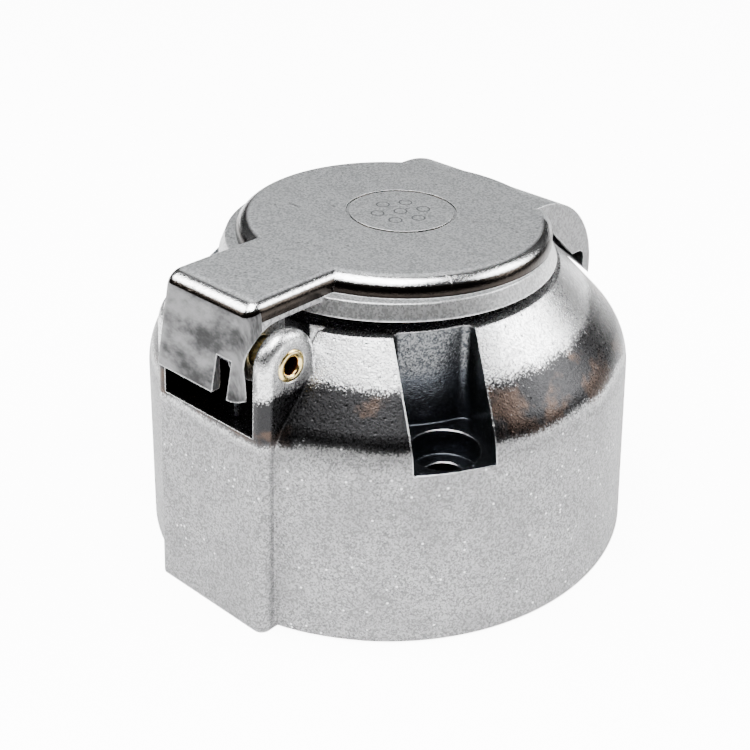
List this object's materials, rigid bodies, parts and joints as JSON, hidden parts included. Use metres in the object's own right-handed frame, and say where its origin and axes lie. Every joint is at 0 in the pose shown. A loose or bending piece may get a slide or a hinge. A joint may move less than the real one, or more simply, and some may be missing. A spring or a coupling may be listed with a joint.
{
  "type": "trailer wiring socket",
  "caption": "Round seven-pin trailer wiring socket in die-cast metal, with a sprung hinged lid over a plug bore, a contact insert and screw recesses.",
  "frame": {"origin": "centre of the mounting face, on the axis of the plug bore", "axes": "+Z out of the plug bore towards the lid, -Y towards the hinge, +X along the hinge pin"},
  "size_m": [0.072, 0.0729, 0.0481],
  "materials": {
    "housing_casting": "tumbled die-cast aluminium, sparkling grain",
    "lid_casting": "die-cast aluminium, linished flat top",
    "brass_rivet": "bright brass",
    "spring_steel": "drawn spring wire",
    "black_rubber": "soft matte rubber",
    "black_plastic": "moulded black plastic",
    "contact_brass": "turned brass",
    "plated_screws": "zinc-plated steel"
  },
  "bodies": {
    "socket": {"housing": "housing_casting", "hinge_pin": "brass_rivet", "lid_spring": "spring_steel", "contact_insert": "black_plastic", "contact_1": "contact_brass", "contact_2": "contact_brass", "contact_3": "contact_brass", "contact_4": "contact_brass", "contact_5": "contact_brass", "contact_6": "contact_brass", "contact_7": "contact_brass", "terminal_screws": "plated_screws", "insert_screws": "plated_screws"},
    "lid": {"lid": "lid_casting", "lid_seal": "black_rubber"}
  },
  "joints": [
    {"name": "lid_hinge", "type": "hinge", "parent": "socket", "child": "lid", "pos_m": [0, -0.02953, 0.0394], "axis": [1, 0, 0], "range_deg": [0, 105], "stiffness_Nm_per_rad": 0.03, "springref_deg": -57.3, "deforming": ["lid_spring"]}
  ]
}
